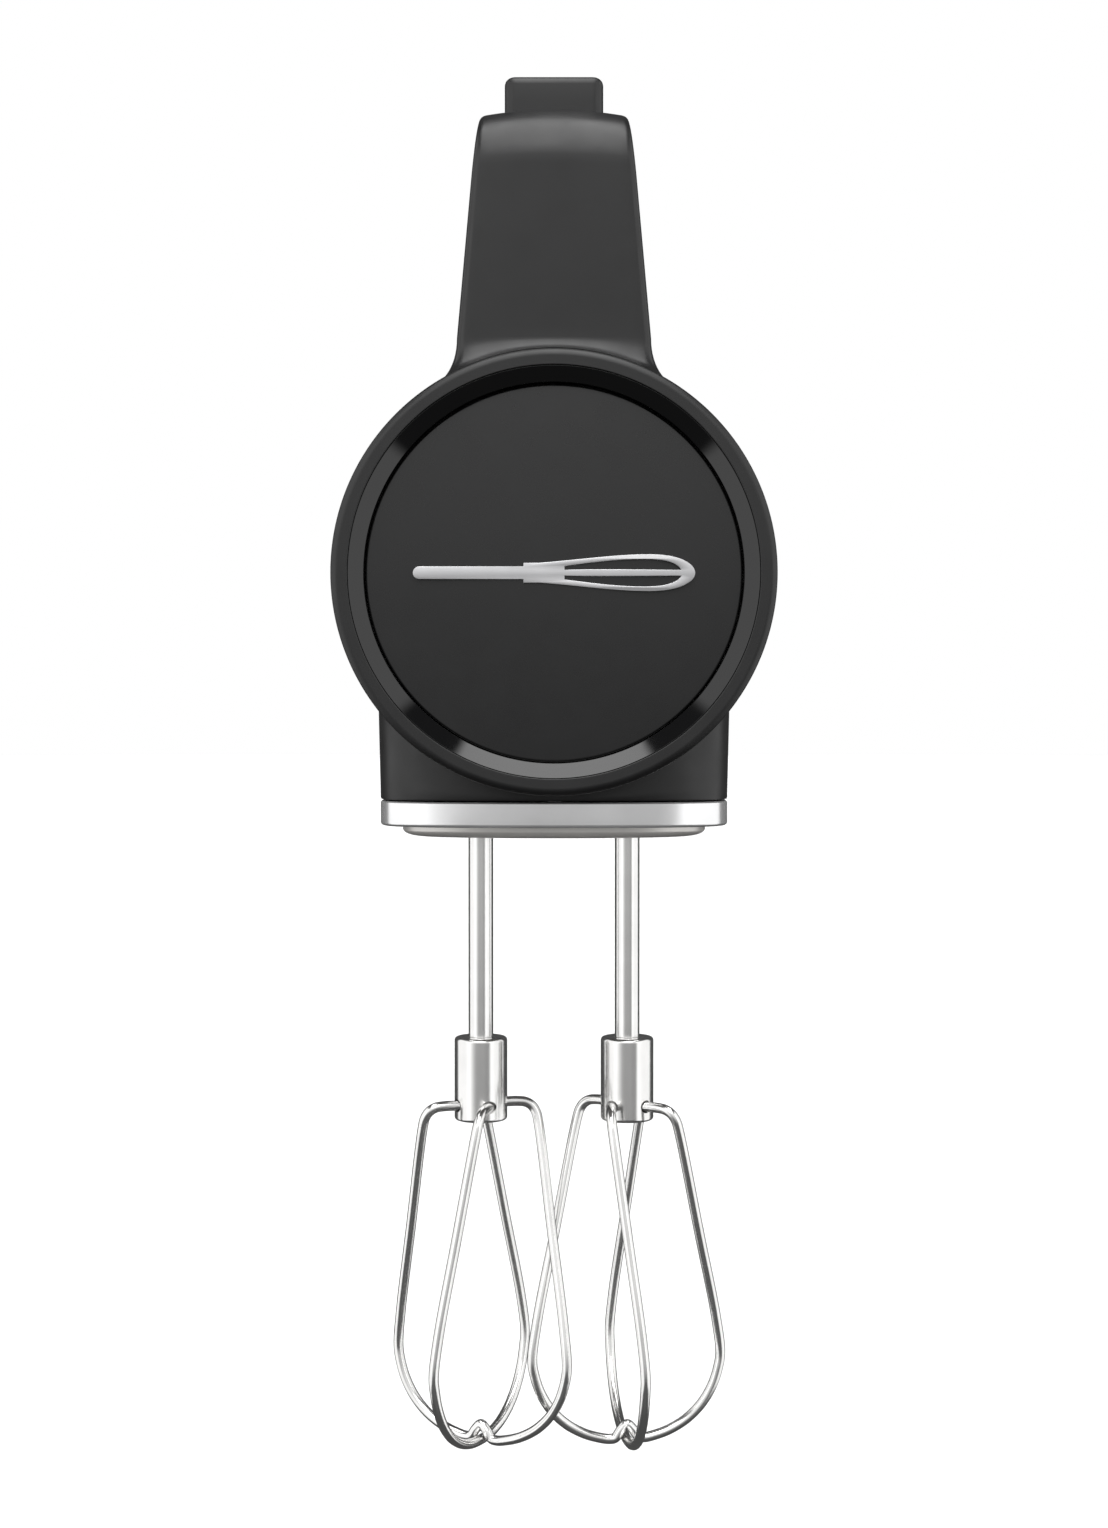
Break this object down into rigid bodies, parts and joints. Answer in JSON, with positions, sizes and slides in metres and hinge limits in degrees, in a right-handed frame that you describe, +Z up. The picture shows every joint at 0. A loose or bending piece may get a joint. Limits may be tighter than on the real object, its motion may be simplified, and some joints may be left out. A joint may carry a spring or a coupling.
{
  "type": "hand mixer",
  "caption": "Cordless hand mixer with an open handle on a short neck, a round motor barrel with a battery at the rear, a chrome trimmed foot and twin wire beaters.",
  "frame": {"origin": "middle of the hand grip, on the mixer's plane of symmetry", "axes": "+Z up along the beaters, from the cages to the handle; the nose faces -Y and the handle runs back along +Y; +X is the viewer's right when looking at the nose"},
  "size_m": [0.0888, 0.1456, 0.2913],
  "materials": {
    "housing_plastic": "fine moulded texture, soft satin black",
    "handle_plastic": "fine moulded texture, soft satin black",
    "bezel_plastic": "polished black",
    "disc_plastic": "smooth satin black",
    "emblem_foil": "satin silver print",
    "button_plastic": "smooth satin black",
    "chrome_trim": "satin chrome",
    "base_metal": "brushed, slightly warm",
    "beater_steel": "polished stainless steel",
    "screw_steel": "zinc plated",
    "soft_rubber": "matte",
    "inner_plastic": "as moulded",
    "bronze": "sintered bronze",
    "gear_plastic": "as moulded",
    "motor_steel": "zinc plated",
    "ferrite": "matte dark grey",
    "winding_copper": "enamelled copper",
    "circuit_board": "solder mask green",
    "cell_wrap": "shrink wrap",
    "lead_jacket": "smooth"
  },
  "bodies": {
    "housing": {"motor_housing": "housing_plastic", "front_ring": "housing_plastic", "rear_cover": "housing_plastic", "handle_cover": "handle_plastic", "handle_grip": "handle_plastic", "bezel_ring": "bezel_plastic", "front_disc": "disc_plastic", "front_emblem": "emblem_foil", "trim_band": "chrome_trim", "bottom_plate": "base_metal", "bottom_screw_front": "screw_steel", "bottom_screw_rear": "screw_steel", "handle_screw_front": "screw_steel", "handle_screw_rear": "screw_steel", "shaft_seal_left": "soft_rubber", "shaft_seal_right": "soft_rubber", "heel_pad": "soft_rubber", "speed_switch": "inner_plastic", "eject_guide": "inner_plastic", "motor_end_cap": "inner_plastic", "gear_case": "inner_plastic", "gear_case_cover": "inner_plastic", "worm_bush": "bronze", "lower_bush_left": "bronze", "lower_bush_right": "bronze", "upper_bush_left": "bronze", "upper_bush_right": "bronze", "motor_can": "motor_steel", "stator_magnet": "ferrite", "control_board": "circuit_board", "switch_lead": "lead_jacket"},
    "motor_rotor": {"motor_shaft": "screw_steel", "rotor_core": "winding_copper", "commutator": "winding_copper", "worm": "bronze", "cooling_fan": "inner_plastic"},
    "spindle_left_body": {"spindle_left": "screw_steel", "gear_left": "gear_plastic"},
    "spindle_right_body": {"spindle_right": "screw_steel", "gear_right": "gear_plastic"},
    "ejector": {"eject_button": "button_plastic", "eject_rod": "inner_plastic", "eject_spring": "screw_steel"},
    "eject_pin_left_body": {"eject_pin_left": "screw_steel"},
    "eject_pin_right_body": {"eject_pin_right": "screw_steel"},
    "beater_left_body": {"beater_shaft_left": "beater_steel", "beater_collar_left": "beater_steel", "hump_wire_left": "beater_steel", "plain_wire_left": "beater_steel"},
    "beater_right_body": {"beater_shaft_right": "beater_steel", "beater_collar_right": "beater_steel", "hump_wire_right": "beater_steel", "plain_wire_right": "beater_steel"},
    "speed_slider_body": {"speed_slider": "button_plastic"},
    "battery": {"battery_case": "inner_plastic", "battery_cap": "housing_plastic", "battery_cell_left": "cell_wrap", "battery_cell_middle": "cell_wrap", "battery_cell_right": "cell_wrap"},
    "release_button_body": {"release_button": "button_plastic"}
  },
  "joints": [
    {"name": "spindle_left_spin", "type": "hinge", "parent": "housing", "child": "spindle_left_body", "pos_m": [-0.016, -0.036, -0.1], "axis": [0, 0, 1], "continuous": true},
    {"name": "spindle_right_spin", "type": "hinge", "parent": "housing", "child": "spindle_right_body", "pos_m": [0.016, -0.036, -0.1], "axis": [0, 0, 1], "continuous": true},
    {"name": "motor_spin", "type": "hinge", "parent": "housing", "child": "motor_rotor", "pos_m": [0, -0.036, -0.1], "axis": [0, 1, 0], "continuous": true},
    {"name": "eject_press", "type": "slide", "parent": "housing", "child": "ejector", "axis": [0, 0, -1], "range_m": [0, 0.008], "stiffness_N_per_m": 900, "springref_m": -0.004, "deforming": ["eject_spring"]},
    {"name": "eject_pin_left_slide", "type": "slide", "parent": "spindle_left_body", "child": "eject_pin_left_body", "axis": [0, 0, -1], "range_m": [0, 0.008]},
    {"name": "eject_pin_right_slide", "type": "slide", "parent": "spindle_right_body", "child": "eject_pin_right_body", "axis": [0, 0, -1], "range_m": [0, 0.008]},
    {"name": "beater_left_pull", "type": "slide", "parent": "eject_pin_left_body", "child": "beater_left_body", "axis": [0, 0, -1], "range_m": [0, 0.045]},
    {"name": "beater_right_pull", "type": "slide", "parent": "eject_pin_right_body", "child": "beater_right_body", "axis": [0, 0, -1], "range_m": [0, 0.045]},
    {"name": "speed_slide", "type": "slide", "parent": "housing", "child": "speed_slider_body", "axis": [0, 1, 0], "range_m": [0, 0.02]},
    {"name": "battery_pull", "type": "slide", "parent": "housing", "child": "battery", "axis": [0, 1, 0], "range_m": [0, 0.075]},
    {"name": "release_press", "type": "slide", "parent": "battery", "child": "release_button_body", "axis": [0, -1, 0], "range_m": [0, 0.002], "stiffness_N_per_m": 400, "springref_m": -0.001}
  ],
  "couplings": [
    {"joint": "spindle_right_spin", "follows": "spindle_left_spin", "ratio": -1},
    {"joint": "motor_spin", "follows": "spindle_left_spin", "ratio": -10},
    {"joint": "eject_pin_left_slide", "follows": "eject_press", "ratio": 1},
    {"joint": "eject_pin_right_slide", "follows": "eject_press", "ratio": 1},
    {"joint": "beater_right_pull", "follows": "beater_left_pull", "ratio": 1}
  ]
}
